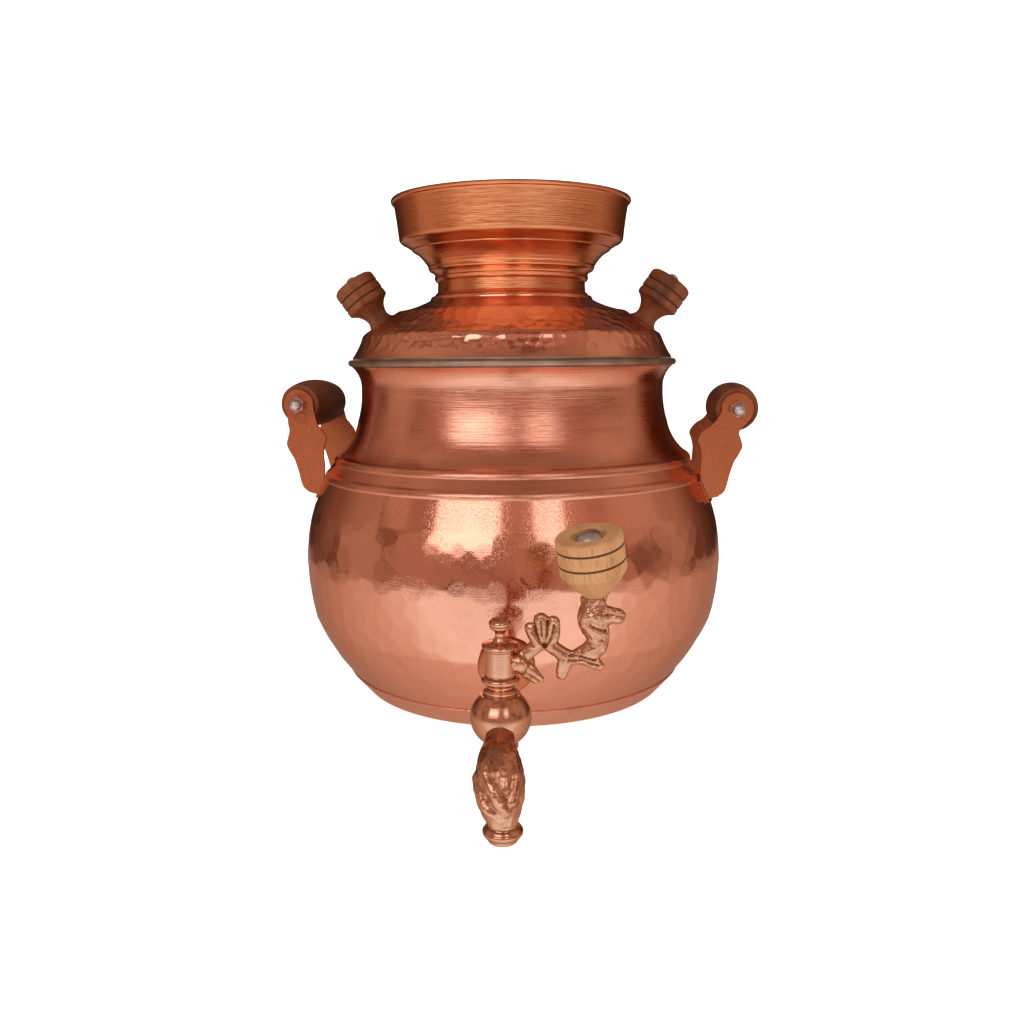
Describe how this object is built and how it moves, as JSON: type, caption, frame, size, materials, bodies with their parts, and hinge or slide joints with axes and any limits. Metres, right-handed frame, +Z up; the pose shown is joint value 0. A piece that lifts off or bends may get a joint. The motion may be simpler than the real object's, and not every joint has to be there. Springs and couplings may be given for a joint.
{
  "type": "copper water urn",
  "caption": "Round-bellied hammered metal water urn with a plug tap, two wooden carrying grips and a lift-off lid that carries a pot crown.",
  "frame": {"origin": "centre of the foot's flat underside, on the surface it stands on", "axes": "+Z up along the vessel's axis; the tap points towards -Y; the carrying handles are on the X sides"},
  "size_m": [0.2777, 0.3474, 0.28],
  "materials": {
    "copper_body": "hammered and polished",
    "crown_copper": "spun and polished",
    "handle_copper": "brown patina",
    "tinned_rim": "dull tin",
    "tap_bronze": "polished casting",
    "zinc_steel": "zinc plated",
    "dark_wood": "oiled",
    "walnut": "oiled",
    "light_wood": "oiled",
    "fibre_gasket": "fibre"
  },
  "bodies": {
    "vessel": {"belly_shell": "copper_body", "neck_shell": "copper_body", "base_pan": "copper_body", "rim_roll": "tinned_rim", "handle_bracket_left": "handle_copper", "handle_bracket_right": "handle_copper", "handle_rivets_left": "handle_copper", "handle_rivets_right": "handle_copper", "handle_bolt_left": "zinc_steel", "handle_bolt_right": "zinc_steel", "handle_nut_left": "zinc_steel", "handle_nut_right": "zinc_steel", "tap_boss": "copper_body", "tap_flange": "tap_bronze", "tap_inner_saddle": "fibre_gasket", "tap_locknut": "tap_bronze", "tap_body": "tap_bronze"},
    "lid": {"lid_skirt": "tinned_rim", "lid_dome": "copper_body", "crown": "crown_copper", "lid_knob_left": "walnut", "lid_knob_right": "walnut", "lid_knob_bolt_left": "zinc_steel", "lid_knob_bolt_right": "zinc_steel", "lid_knob_washer_left": "zinc_steel", "lid_knob_washer_right": "zinc_steel", "lid_knob_nut_left": "zinc_steel", "lid_knob_nut_right": "zinc_steel"},
    "tap_key": {"tap_plug": "tap_bronze", "tap_lever": "tap_bronze", "lever_pin": "zinc_steel", "tap_knob": "light_wood", "tap_knob_screw": "zinc_steel", "plug_washer": "tap_bronze", "plug_nut": "tap_bronze"},
    "grip_left": {"handle_grip_left": "dark_wood"},
    "grip_right": {"handle_grip_right": "dark_wood"}
  },
  "joints": [
    {"name": "lid_lift", "type": "slide", "parent": "vessel", "child": "lid", "axis": [0, 0, 1], "range_m": [0, 0.08]},
    {"name": "tap_turn", "type": "hinge", "parent": "vessel", "child": "tap_key", "pos_m": [0, -0.185, 0.0445], "axis": [0, 0, 1], "range_deg": [-90, 90]},
    {"name": "grip_left_spin", "type": "hinge", "parent": "vessel", "child": "grip_left", "pos_m": [-0.12159, 0.01493, 0.1654], "axis": [0.1219, 0.9925, 0], "continuous": true},
    {"name": "grip_right_spin", "type": "hinge", "parent": "vessel", "child": "grip_right", "pos_m": [0.12719, -0.00889, 0.1628], "axis": [0.0698, 0.9976, 0], "continuous": true}
  ]
}
